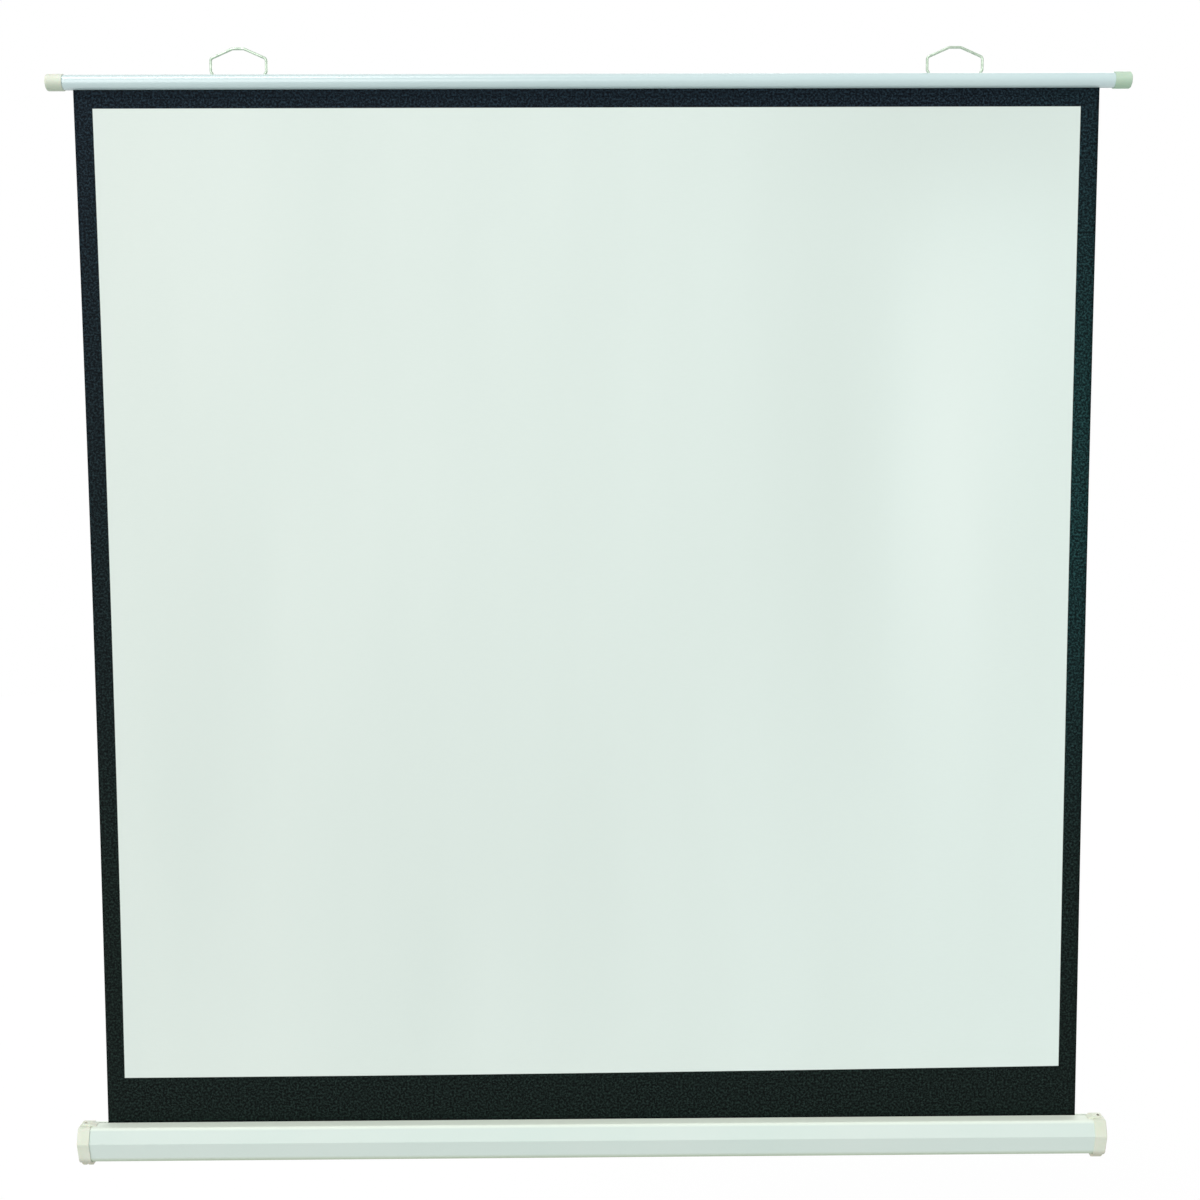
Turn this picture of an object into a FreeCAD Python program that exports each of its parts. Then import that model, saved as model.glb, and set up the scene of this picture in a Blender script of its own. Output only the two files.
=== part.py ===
import FreeCAD, Part
import math
import os
from types import SimpleNamespace

import Sketcher

# Hang-up projection screen: a spring-roller case hangs at the bottom of the fabric, and a
# slim tube with two wire bails carries it all from a pair of hooks.
# Millimetres. X runs across the screen, +Y is the back, +Z is up. The origin lies midway
# between the bails, on the line where the two hooks bear on their wires.

doc = FreeCAD.newDocument("projection_screen")
sheet = doc.addObject("Spreadsheet::Sheet", "sizes")

driving_sizes = {
    # fabric
    "fabric_width": 1524,
    "fabric_drop": 1582,
    "fabric_thickness": 0.36,
    "fabric_neck_in": 2.5,
    "fabric_shift": -14.4,
    "hem_flap": 15,
    "roller_wraps": 1.5,
    # top tube
    "tube_overhang": 39.25,
    "tube_diameter": 22,
    "tube_wall": 1,
    "tube_drop": 46,
    "tube_shift": -10.75,
    "slit_width": 2.4,
    "rod_diameter": 6,
    # cups over the tube's ends
    "cup_diameter": 24.5,
    "cup_cover": 22,
    "cup_end": 3,
    "cup_round": 2.6,
    "spigot_length": 12,
    "spigot_wall": 1.5,
    "spigot_slot": 3,
    # wire bails
    "bail_spacing": 1062,
    "bail_width": 86,
    "bail_flat": 17,
    "bail_shoulder_drop": 14.2,
    "bail_toe_in": 2.2,
    "bail_toe_rise": 4.5,
    "bail_foot_depth": 3.3,
    "bail_foot_length": 8,
    "bail_bend": 5,
    "bail_toe_bend": 3,
    "wire_diameter": 4,
    "bail_slot_play": 0.5,
    "bail_slot_half": 3,
    "bail_slot_round": 2,
    # case section, seen from its end
    "case_overhang": 37.65,
    "case_shift": -13.75,
    "case_wall": 1.2,
    "case_height": 56,
    "case_back": 15.2,
    "case_top_depth": 23.5,
    "case_ridge_reach": 31.5,
    "case_ridge_drop": 22.6,
    "case_low_corner_reach": 22.2,
    "case_top_bend": 5,
    "case_ridge_bend": 1.8,
    "case_low_bend": 9,
    "case_back_bend": 4,
    "slot_front": 3,
    "slot_back": 0.7,
    "slot_lip": 1.1,
    "slot_flange": 5,
    # moulded ends of the case
    "cap_plate": 3.2,
    "cap_cover": 15.8,
    "cap_wall": 1.3,
    "cap_play": 0.15,
    "cap_round": 2.2,
    "rib_wall": 1.6,
    "rib_reach": 5,
    "boss_length": 5.6,
    "boss_diameter": 15,
    "lobe_length": 13,
    "lobe_slope": 9,
    "lobe_rise": 2.6,
    "lobe_inset": 4.2,
    "lobe_depth": 15,
    "lobe_back": 2,
    "lobe_round": 3,
    "lobe_crown": 2,
    "lobe_edge": 0.8,
    "foot_length": 19,
    "foot_height": 3.4,
    "foot_inset": 2.6,
    "foot_chamfer": 2.6,
    "foot_taper": 0.9,
    "foot_depth": 30,
    "foot_notch": 3,
    "foot_notch_depth": 1.6,
    "foot_round": 0.8,
    # screws in the lobes
    "screw_inset": 8.8,
    "screw_reach": 8,
    "screw_head": 4.4,
    "screw_shank": 2.6,
    "screw_length": 6,
    "screw_floor": 3,
    "screw_head_height": 1.5,
    "screw_recess": 0.8,
    "screw_tilt": 42,
    # roller and its ends
    "roller_left_room": 9,
    "roller_right_room": 27,
    "roller_diameter": 30,
    "roller_wall": 1,
    "roller_back": 8,
    "roller_drop": 28,
    "plug_length": 20,
    "plug_flange": 2,
    "idle_pin_diameter": 6,
    "bush_wall": 2,
    "bush_flange_lip": 1.6,
    "spindle_diameter": 8,
    "spindle_length": 254,
    "collar_length": 12,
    "blade_width": 6.4,
    "blade_thickness": 2.4,
    "socket_plate": 1.6,
    "socket_width": 20,
    "socket_height": 13,
    "spring_wire": 2.4,
    "spring_room": 1.8,
    "spring_head_room": 1,
    "spring_turns": 13,
    "anchor_length": 20,
    # ratchet and pawls
    "ratchet_diameter": 16,
    "ratchet_width": 4,
    "notch_floor": 5.4,
    "notch_front": 2.2,
    "notch_back": 1.4,
    "notch_run": 2.8,
    "pawl_width": 3,
    "pawl_reach": 9,
    "pawl_rise": 8,
    "pawl_boss": 2.3,
    "pawl_pin": 2,
    "pawl_head": 3.6,
    "pawl_head_height": 0.6,
    "tooth_width": 2.6,
    "tooth_tip": 5.8,
    "tooth_root": 8.6,
    "pawl_back": 11.2,
    "pawl_lift": 18,
    # clearances
    "fit_gap": 0.05,
    "run_gap": 0.3,
    "overrun": 2,
}


class Size:
    """A named size, or a sum of them: its number, and the sheet expression that gives it."""

    def __init__(self, number, text):
        self.number = number
        self.text = text

    def joined(self, sign, other, number):
        return Size(number, f"({self.text} {sign} {as_size(other).text})")

    def __add__(self, other):
        return self.joined("+", other, self.number + as_size(other).number)

    def __sub__(self, other):
        return self.joined("-", other, self.number - as_size(other).number)

    def __mul__(self, other):
        return self.joined("*", other, self.number * as_size(other).number)

    def __truediv__(self, other):
        return self.joined("/", other, self.number / as_size(other).number)

    def __radd__(self, other):
        return as_size(other) + self

    def __rmul__(self, other):
        return as_size(other) * self

    def __neg__(self):
        return Size(-self.number, f"(-1 * {self.text})")


def as_size(value):
    return value if isinstance(value, Size) else Size(value, repr(value))


def hypotenuse(a, b):
    return Size(math.hypot(a.number, b.number), f"hypot({a.text}; {b.text})")


def cosine(angle):
    return Size(math.cos(math.radians(angle.number)), f"cos({angle.text} * 1 deg)")


def sine(angle):
    return Size(math.sin(math.radians(angle.number)), f"sin({angle.text} * 1 deg)")


for row, (name, number) in enumerate(driving_sizes.items(), start=1):
    sheet.set(f"A{row}", name)
    sheet.set(f"B{row}", str(number))
    sheet.setAlias(f"B{row}", name)
doc.recompute()
s = SimpleNamespace(**{name: Size(number, f"sizes.{name}") for name, number in driving_sizes.items()})
zero = Size(0, "0")

# Places that several pieces share
tube_length = s.fabric_width + s.tube_overhang * 2
case_length = s.fabric_width + s.case_overhang * 2
roller_length = case_length - s.roller_left_room - s.roller_right_room
tube_radius = s.tube_diameter / 2
tube_bore = tube_radius - s.tube_wall
wire_radius = s.wire_diameter / 2
case_top = -(s.tube_drop + tube_radius + s.fabric_drop)
hem_outer = s.rod_diameter / 2 + s.fit_gap + s.fabric_thickness
rod_drop = tube_bore - hem_outer - s.fit_gap
roller_radius = s.roller_diameter / 2
roller_bore = roller_radius - s.roller_wall
wrap_radius = roller_radius + s.fit_gap + s.fabric_thickness * s.roller_wraps
roller_z = case_top - s.roller_drop
case_end = case_length / 2
roller_left = -case_end + s.roller_left_room
roller_right = roller_left + roller_length
spindle_radius = s.spindle_diameter / 2
ratchet_left = roller_right + s.plug_flange + s.run_gap
ratchet_right = ratchet_left + s.ratchet_width
spindle_left = ratchet_right - s.spindle_length
spring_left = spindle_left + s.anchor_length + s.run_gap
spring_right = roller_right - s.plug_length - s.spring_head_room
spring_length = spring_right - spring_left
collar_radius = roller_bore - s.spring_wire - s.spring_room


# Tools for bodies, sketches and features

def new_body(label, x=zero, y=zero, z=zero):
    body = doc.addObject("PartDesign::Body", label)
    body.Label = label
    for axis, place in (("x", x), ("y", y), ("z", z)):
        body.setExpression(f"Placement.Base.{axis}", place.text)
    return body


def new_sketch(body, plane, offset=zero):
    """A sketch on one of the body's own planes: YZ looks along X, XZ along -Y, XY along Z."""
    sketch = body.newObject("Sketcher::SketchObject", "Sketch")
    datum = [item for item in body.Origin.OriginFeatures if item.Role == plane + "_Plane"][0]
    sketch.AttachmentSupport = [(datum, "")]
    sketch.MapMode = "FlatFace"
    sketch.setExpression("AttachmentOffset.Base.z", offset.text)
    return sketch


def bind(sketch, kind, *args):
    """Add a dimension whose last argument is a Size, and tie it to the sheet."""
    index = sketch.addConstraint(Sketcher.Constraint(kind, *args[:-1], args[-1].number))
    sketch.setExpression(f"Constraints[{index}]", args[-1].text)


def pin_point(sketch, geometry, end, x, y):
    """Hold one point of a sketch at x, y from the sketch's origin."""
    for kind, axis, place in (("DistanceX", -2, x), ("DistanceY", -1, y)):
        if place is zero:
            sketch.addConstraint(Sketcher.Constraint("PointOnObject", geometry, end, axis))
        else:
            bind(sketch, kind, -1, 1, geometry, end, place)


def circle(sketch, x, y, radius):
    round_edge = Part.Circle(FreeCAD.Vector(x.number, y.number, 0), FreeCAD.Vector(0, 0, 1), radius.number)
    index = sketch.addGeometry(round_edge, False)
    bind(sketch, "Radius", index, radius)
    pin_point(sketch, index, 3, x, y)


def outline(sketch, corners, closed=True):
    """Draw lines from corner to corner. A corner is x, y, or x, y, radius for a rounded one."""
    count = len(corners)
    points = [FreeCAD.Vector(corner[0].number, corner[1].number, 0) for corner in corners]
    ends, arcs = [], {}
    for i, corner in enumerate(corners):
        inner = closed or 0 < i < count - 1
        if len(corner) < 3 or not inner:
            ends.append((points[i], points[i]))
            continue
        before = (points[i - 1] - points[i]).normalize()
        after = (points[(i + 1) % count] - points[i]).normalize()
        half = before.getAngle(after) / 2
        run = corner[2].number / math.tan(half)
        middle = points[i] + (before + after).normalize() * (corner[2].number / math.sin(half))
        first, last = points[i] + before * run, points[i] + after * run
        ends.append((first, last))
        turns_left = (points[i] - points[i - 1]).cross(points[(i + 1) % count] - points[i]).z > 0
        start, stop = (first, last) if turns_left else (last, first)
        ring = Part.Circle(middle, FreeCAD.Vector(0, 0, 1), corner[2].number)
        arcs[i] = (Part.ArcOfCircle(ring, ring.parameter(start), ring.parameter(stop)), turns_left)
    spans = count if closed else count - 1
    lines = []
    for i in range(spans):
        segment = Part.LineSegment(ends[i][1], ends[(i + 1) % count][0])
        lines.append(sketch.addGeometry(segment, False))
    for i, corner in enumerate(corners):
        if i not in arcs:
            line, end = (lines[i], 1) if i < spans else (lines[i - 1], 2)
            pin_point(sketch, line, end, corner[0], corner[1])
            if closed or 0 < i < count - 1:
                sketch.addConstraint(Sketcher.Constraint("Coincident", lines[i - 1], 2, lines[i], 1))
            continue
        arc, turns_left = arcs[i]
        bend = sketch.addGeometry(arc, False)
        mark = sketch.addGeometry(Part.Point(points[i]), True)
        pin_point(sketch, mark, 1, corner[0], corner[1])
        for line in (lines[i - 1], lines[i]):
            sketch.addConstraint(Sketcher.Constraint("PointOnObject", mark, 1, line))
        enter, leave = (1, 2) if turns_left else (2, 1)
        sketch.addConstraint(Sketcher.Constraint("Tangent", lines[i - 1], 2, bend, enter))
        sketch.addConstraint(Sketcher.Constraint("Tangent", bend, leave, lines[i], 1))
        bind(sketch, "Radius", bend, corner[2])


def rectangle(sketch, left, bottom, right, top):
    outline(sketch, [(left, bottom), (right, bottom), (right, top), (left, top)])


def grown(corners, distance):
    """The same anticlockwise outline, moved outwards by a distance."""
    moved = []
    for i, corner in enumerate(corners):
        normals = []
        for start, stop in ((corners[i - 1], corner), (corner, corners[(i + 1) % len(corners)])):
            run, rise = stop[0] - start[0], stop[1] - start[1]
            length = hypotenuse(run, rise)
            normals.append((rise / length, -run / length))
        (ax, ay), (bx, by) = normals
        scale = distance / (1 + ax * bx + ay * by)
        moved.append((corner[0] + (ax + bx) * scale, corner[1] + (ay + by) * scale, corner[2] + distance))
    return moved


def extrude(body, kind, sketch, length, reverse=False, symmetric=False):
    feature = body.newObject(kind, kind.split("::")[1])
    feature.Profile = sketch
    feature.Refine = True
    feature.setExpression("Length", length.text)
    feature.Reversed = reverse
    if symmetric:
        feature.SideType = "Symmetric"
    sketch.Visibility = False
    return feature


def pad(body, sketch, length, **options):
    return extrude(body, "PartDesign::Pad", sketch, length, **options)


def pocket(body, sketch, length, **options):
    return extrude(body, "PartDesign::Pocket", sketch, length, **options)


def revolve(body, sketch, role="X_Axis"):
    feature = body.newObject("PartDesign::Revolution", "Revolution")
    feature.Profile = sketch
    feature.ReferenceAxis = ([item for item in body.Origin.OriginFeatures if item.Role == role][0], [""])
    feature.Angle = 360
    return feature


def dress(body, kind, size_name, size, wanted):
    """Fillet or chamfer the edges of the body's tip whose middle passes the test."""
    doc.recompute()
    tip = body.Tip
    names = [f"Edge{i}" for i, edge in enumerate(tip.Shape.Edges, start=1) if wanted(edge)]
    feature = body.newObject("PartDesign::" + kind, kind)
    feature.Base = (tip, names)
    feature.setExpression(size_name, size.text)
    return feature


def near(a, b):
    return abs(a - b) < 1e-4


# Top tube, its cups and the rod in the hem

def make_top_tube():
    body = new_body("top_tube", s.tube_shift, zero, -s.tube_drop)
    ring = new_sketch(body, "YZ")
    circle(ring, zero, zero, tube_radius)
    circle(ring, zero, zero, tube_bore)
    pad(body, ring, tube_length, symmetric=True)
    slit = new_sketch(body, "XY")
    rectangle(slit, -tube_length, -s.slit_width / 2, tube_length, s.slit_width / 2)
    pocket(body, slit, tube_radius + s.overrun)
    feet = new_sketch(body, "XY")
    play = wire_radius + s.bail_slot_play
    for bail in (-1, 1):
        for leg in (-1, 1):
            middle = bail * s.bail_spacing / 2 - s.tube_shift + leg * bail_foot_x
            outline(feet, [
                (middle - play, -s.bail_slot_half, s.bail_slot_round),
                (middle + play, -s.bail_slot_half, s.bail_slot_round),
                (middle + play, s.bail_slot_half, s.bail_slot_round),
                (middle - play, s.bail_slot_half, s.bail_slot_round),
            ])
    pocket(body, feet, tube_radius + s.overrun, reverse=True)
    return body


def make_top_cap(side, label):
    """A cup over the tube's end, with a slotted spigot inside the tube."""
    body = new_body(label, s.tube_shift + side * tube_length / 2, zero, -s.tube_drop)
    half = new_sketch(body, "XZ")
    spigot = tube_bore - s.fit_gap * 2
    cover = tube_radius + s.fit_gap
    outline(half, [
        (side * s.cup_end, zero),
        (side * s.cup_end, s.cup_diameter / 2, s.cup_round),
        (-side * s.cup_cover, s.cup_diameter / 2),
        (-side * s.cup_cover, cover),
        (zero, cover),
        (zero, spigot),
        (-side * s.spigot_length, spigot),
        (-side * s.spigot_length, spigot - s.spigot_wall),
        (zero, spigot - s.spigot_wall),
        (zero, zero),
    ])
    revolve(body, half)
    for plane in ("XY", "XZ"):
        slot = new_sketch(body, plane)
        rectangle(slot, zero, -s.spigot_slot / 2, -side * (s.spigot_length + s.overrun), s.spigot_slot / 2)
        pocket(body, slot, s.tube_diameter - s.tube_wall * 2, symmetric=True)
    return body


def make_hem_rod():
    body = new_body("hem_rod", s.fabric_shift, zero, -s.tube_drop - rod_drop)
    end = new_sketch(body, "YZ")
    circle(end, zero, zero, s.rod_diameter / 2)
    pad(body, end, s.fabric_width, symmetric=True)
    return body


# Bails: each foot turns inwards through a slot in the tube and hooks under its wall

bail_half = s.bail_width / 2 - wire_radius
bail_foot_x = bail_half - s.bail_toe_in
bail_hinge_z = -(s.tube_drop - tube_radius) - s.tube_wall / 2


def make_bail(side, label):
    body = new_body(label, side * s.bail_spacing / 2, zero, zero)
    foot_z = bail_hinge_z - s.bail_foot_depth
    toe_z = bail_hinge_z + s.tube_wall * 3 / 2
    right = [
        (s.bail_flat / 2, wire_radius, s.bail_bend),
        (bail_half, -s.bail_shoulder_drop + wire_radius, s.bail_bend),
        (bail_half, bail_hinge_z + s.bail_toe_rise, s.bail_toe_bend),
        (bail_foot_x, toe_z, s.bail_toe_bend),
        (bail_foot_x, foot_z, s.bail_toe_bend),
        (bail_foot_x - s.bail_foot_length, foot_z),
    ]
    left = [(-corner[0],) + corner[1:] for corner in reversed(right)]
    path = new_sketch(body, "XZ")
    outline(path, left + right, closed=False)
    section = new_sketch(body, "YZ", -(bail_foot_x - s.bail_foot_length))
    circle(section, zero, foot_z, wire_radius)
    wire = body.newObject("PartDesign::AdditivePipe", "Wire")
    wire.Profile = section
    doc.recompute()
    wire.Spine = (path, [f"Edge{i}" for i in range(1, len(path.Shape.Edges) + 1)])
    return body


# Fabric: the sheet from its hem down into the case, and the turns left on the roller

def make_screen_fabric():
    body = new_body("screen_fabric", s.fabric_shift, zero, -s.tube_drop)
    hem = new_sketch(body, "YZ")
    circle(hem, zero, -rod_drop, hem_outer)
    circle(hem, zero, -rod_drop, s.rod_diameter / 2 + s.fit_gap)
    pad(body, hem, s.fabric_width, symmetric=True)
    half = s.fabric_width / 2
    top = -rod_drop - hem_outer + s.fabric_thickness / 2
    bottom = -tube_radius - s.fabric_drop - s.fabric_thickness / 2
    middle = (top + bottom) / 2
    face = new_sketch(body, "XZ")
    outline(face, [
        (half, bottom), (half - s.fabric_neck_in, middle), (half, top),
        (-half, top), (-half + s.fabric_neck_in, middle), (-half, bottom),
    ])
    pad(body, face, s.fabric_thickness)
    flap = new_sketch(body, "XZ")
    rectangle(flap, -half, -tube_radius - s.hem_flap, half, top)
    pad(body, flap, s.fabric_thickness, reverse=True)
    # From the slot the sheet leans back to where it meets the roll
    slot_z = -tube_radius - s.fabric_drop
    to_axis = (-s.roller_back, -s.roller_drop)
    away = hypotenuse(*to_axis)
    reach = wrap_radius + s.run_gap + s.fabric_thickness
    run = (away * away - reach * reach)
    run = Size(math.sqrt(run.number), f"sqrt{run.text}")
    touch_y = (run * run * to_axis[0] - run * reach * to_axis[1]) / (away * away)
    touch_z = (run * run * to_axis[1] + run * reach * to_axis[0]) / (away * away)
    normal_y = (touch_y - to_axis[0]) / reach
    normal_z = (touch_z - to_axis[1]) / reach
    lead = new_sketch(body, "YZ")
    outline(lead, [
        (zero, slot_z),
        (-s.fabric_thickness * normal_y, slot_z - s.fabric_thickness * normal_z),
        (touch_y - s.fabric_thickness * normal_y, slot_z + touch_z - s.fabric_thickness * normal_z),
        (touch_y, slot_z + touch_z),
    ])
    pad(body, lead, s.fabric_width, symmetric=True)
    return body


def make_fabric_wraps():
    body = new_body("fabric_wraps", s.fabric_shift, -s.roller_back, roller_z)
    roll = new_sketch(body, "YZ")
    circle(roll, zero, zero, wrap_radius)
    circle(roll, zero, zero, roller_radius + s.fit_gap)
    pad(body, roll, s.fabric_width, symmetric=True)
    return body


# Case: its section is drawn once, with Y from the fabric and Z from the case's top

back_flat = s.slot_back + s.slot_lip * 2
case_section = [
    (-s.case_top_depth, zero, s.case_top_bend),
    (-s.case_ridge_reach, -s.case_ridge_drop, s.case_ridge_bend),
    (-s.case_low_corner_reach, -s.case_height, s.case_low_bend),
    (s.case_back, -s.case_height, s.case_back_bend),
    (s.case_back, -(s.case_back - back_flat), s.case_ridge_bend),
    (back_flat, zero, s.case_ridge_bend),
]


def make_case_shell():
    body = new_body("case_shell", s.case_shift, zero, case_top)
    outside = new_sketch(body, "YZ")
    outline(outside, case_section)
    pad(body, outside, case_length, symmetric=True)
    inside = new_sketch(body, "YZ")
    outline(inside, grown(case_section, -s.case_wall))
    pocket(body, inside, case_length + s.overrun, symmetric=True)
    slot = new_sketch(body, "XY")
    rectangle(slot, -case_length, -s.slot_front, case_length, s.slot_back + s.slot_lip)
    pocket(body, slot, s.case_wall * 2, symmetric=True)
    # The front lip folds down into the case, and the back lip is rolled
    flange = new_sketch(body, "YZ")
    rectangle(flange, -s.slot_front - s.case_wall, -s.slot_flange, -s.slot_front, -s.case_wall / 2)
    pad(body, flange, case_length, symmetric=True)
    bead = new_sketch(body, "YZ")
    circle(bead, s.slot_back + s.slot_lip, -s.slot_lip, s.slot_lip)
    pad(body, bead, case_length, symmetric=True)
    for side in (-1, 1):
        pilot = screw_sketch(body, side * (case_end + s.cap_plate - s.screw_inset), zero)
        circle(pilot, zero, zero, s.screw_shank / 2 + s.fit_gap)
        pocket(body, pilot, s.screw_length, symmetric=True)
    return body


# The screw in each lobe leans back as it goes down
lobe_y = -(s.lobe_back + s.lobe_depth / 2)


def screw_sketch(body, x, along):
    """A sketch square to the leaning screw, at a distance along its line from the case's top."""
    sketch = new_sketch(body, "XY")
    sketch.setExpression("AttachmentOffset.Base.x", x.text)
    sketch.setExpression("AttachmentOffset.Base.y", (-(s.screw_reach + along * sine(s.screw_tilt))).text)
    sketch.setExpression("AttachmentOffset.Base.z", (along * cosine(s.screw_tilt)).text)
    sketch.setExpression("AttachmentOffset.Rotation.Angle", s.screw_tilt.text)
    sketch.AttachmentOffset = FreeCAD.Placement(
        sketch.AttachmentOffset.Base, FreeCAD.Rotation(FreeCAD.Vector(1, 0, 0), s.screw_tilt.number))
    return sketch


def make_case_cap(side, label):
    """A moulded end: a collar over the case, a lobe on top, a foot below, and a boss inside."""
    body = new_body(label, s.case_shift + side * case_end, zero, case_top)
    skin = new_sketch(body, "YZ", -side * s.cap_cover)
    outline(skin, grown(case_section, s.cap_play + s.cap_wall))
    pad(body, skin, s.cap_cover + s.cap_plate, reverse=side < 0)
    dress(body, "Fillet", "Radius", s.cap_round,
          lambda edge: near(edge.CenterOfMass.x, side * s.cap_plate.number))
    top = s.cap_play + s.cap_wall
    # The lobe is rounded along its top and falls away towards the middle of the screen
    lobe = new_sketch(body, "XZ", -lobe_y)
    tip = side * (s.cap_plate - s.lobe_inset)
    lobe_end = tip - side * (s.lobe_length + s.lobe_slope)
    outline(lobe, [
        (tip, -top),
        (tip, top + s.lobe_rise, s.lobe_round),
        (tip - side * s.lobe_length, top + s.lobe_rise, s.lobe_round * 2),
        (lobe_end, s.cap_play + s.lobe_edge),
        (lobe_end, -top),
    ])
    pad(body, lobe, s.lobe_depth, symmetric=True)
    half_depth = s.lobe_depth.number / 2
    dress(body, "Fillet", "Radius", s.lobe_crown,
          lambda edge: near(abs(edge.CenterOfMass.y - lobe_y.number), half_depth)
          and edge.CenterOfMass.z > top.number + s.cap_play.number)
    # The foot stands on the floor when the case is set down
    base = -(s.case_height + top)
    foot = new_sketch(body, "XZ", -(s.case_back - s.case_low_corner_reach) / 2)
    out = side * (s.cap_plate - s.foot_inset)
    into = out - side * s.foot_length
    corners = [
        (out, base + top * 2),
        (out, base - s.foot_height + s.foot_chamfer),
        (out - side * s.foot_chamfer, base - s.foot_height),
    ]
    if side < 0:
        middle = (out + into) / 2
        corners += [
            (middle - side * -s.foot_notch / 2, base - s.foot_height),
            (middle, base - s.foot_height + s.foot_notch_depth),
            (middle - side * s.foot_notch / 2, base - s.foot_height),
        ]
    corners += [
        (into + side * s.foot_taper, base - s.foot_height),
        (into, base + top * 2),
    ]
    outline(foot, corners)
    pad(body, foot, s.foot_depth, symmetric=True)
    foot_y = (s.case_back - s.case_low_corner_reach).number / 2
    dress(body, "Fillet", "Radius", s.foot_round,
          lambda edge: near(abs(edge.CenterOfMass.y - foot_y), s.foot_depth.number / 2)
          and edge.CenterOfMass.z < base.number - s.foot_round.number)
    # The inside of the collar clears the case, and so do the lobe and the foot
    inner_end = s.cap_cover + s.lobe_length + s.lobe_slope
    hollow = new_sketch(body, "YZ", -side * inner_end)
    outline(hollow, grown(case_section, s.cap_play))
    pocket(body, hollow, inner_end, reverse=side > 0)
    # Boss and ribs on the inside of the plate carry the roller's end
    boss = new_sketch(body, "YZ")
    if side < 0:
        circle(boss, -s.roller_back, -s.roller_drop, s.boss_diameter / 2)
    else:
        rectangle(boss,
                  -s.roller_back - s.socket_width / 2, -s.roller_drop - s.socket_height / 2,
                  -s.roller_back + s.socket_width / 2, -s.roller_drop + s.socket_height / 2)
    pad(body, boss, s.boss_length, reverse=side > 0)
    for rib_plane in ("flat", "upright"):
        rib = new_sketch(body, "YZ")
        reach = s.boss_diameter / 2 + s.rib_reach
        across, up = (reach, s.rib_wall / 2) if rib_plane == "flat" else (s.rib_wall / 2, reach)
        rectangle(rib, -s.roller_back - across, -s.roller_drop - up,
                  -s.roller_back + across, -s.roller_drop + up)
        pad(body, rib, s.boss_length / 2, reverse=side > 0)
    bore = new_sketch(body, "YZ")
    if side < 0:
        circle(bore, -s.roller_back, -s.roller_drop, bush_radius + s.fit_gap)
    else:
        rectangle(bore,
                  -s.roller_back - s.blade_width / 2 - s.run_gap,
                  -s.roller_drop - s.blade_thickness / 2 - s.run_gap,
                  -s.roller_back + s.blade_width / 2 + s.run_gap,
                  -s.roller_drop + s.blade_thickness / 2 + s.run_gap)
    pocket(body, bore, s.boss_length, reverse=side < 0)
    # The screw's hole is wide down to its head and narrow below it
    screw_x = side * (s.cap_plate - s.screw_inset)
    for along, width in ((s.screw_floor - s.screw_length, s.screw_shank), (s.screw_floor, s.screw_head)):
        hole = screw_sketch(body, screw_x, along)
        circle(hole, zero, zero, width / 2 + s.fit_gap * 2)
        pocket(body, hole, s.screw_length, reverse=True)
    return body


# Roller

bush_radius = s.idle_pin_diameter / 2 + s.fit_gap + s.bush_wall


def make_roller_tube():
    body = new_body("roller_tube", s.case_shift + roller_left, -s.roller_back, roller_z)
    ring = new_sketch(body, "YZ")
    circle(ring, zero, zero, roller_radius)
    circle(ring, zero, zero, roller_bore)
    pad(body, ring, roller_length)
    return body


def turned(label, x, steps, bore=None):
    """A turned piece on the roller's line: steps are its lengths and radii, from the left."""
    body = new_body(label, s.case_shift + x, -s.roller_back, roller_z)
    half = new_sketch(body, "XZ")
    inner = bore if bore is not None else zero
    corners = [(zero, inner)]
    along = zero
    for length, radius in steps:
        corners.append((along, radius))
        along = along + length
        corners.append((along, radius))
    corners.append((along, inner))
    outline(half, corners)
    revolve(body, half)
    return body


def make_roller_ends():
    plug = roller_bore - s.fit_gap
    turned("idle_plug", roller_left - s.plug_flange,
           [(s.plug_flange, roller_radius), (s.plug_length, plug)],
           bore=s.idle_pin_diameter / 2 + s.fit_gap / 2)
    pin_left = -case_end + s.run_gap * 2
    turned("idle_pin", pin_left,
           [(roller_left + s.plug_length - pin_left, s.idle_pin_diameter / 2)])
    flange_room = s.roller_left_room - s.plug_flange - s.boss_length - s.run_gap
    turned("pin_bush", -case_end + s.run_gap,
           [(s.boss_length - s.run_gap, bush_radius),
            (flange_room, bush_radius + s.bush_flange_lip)],
           bore=s.idle_pin_diameter / 2 + s.fit_gap)
    turned("spring_anchor", spindle_left - s.run_gap, [(s.anchor_length, plug)],
           bore=spindle_radius + s.fit_gap)


def make_spring_head():
    """The rotating plug at the spring end, whose flange carries the two pawls."""
    body = turned("spring_head", roller_right - s.plug_length,
                  [(s.plug_length, roller_bore - s.fit_gap), (s.plug_flange, roller_radius)],
                  bore=spindle_radius + s.fit_gap)
    holes = new_sketch(body, "YZ", s.plug_length)
    for turn in (-1, 1):
        circle(holes, turn * s.pawl_reach, -turn * s.pawl_rise, s.pawl_pin / 2 + s.fit_gap / 2)
    pocket(body, holes, s.plug_flange, reverse=True)
    return body


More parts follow.
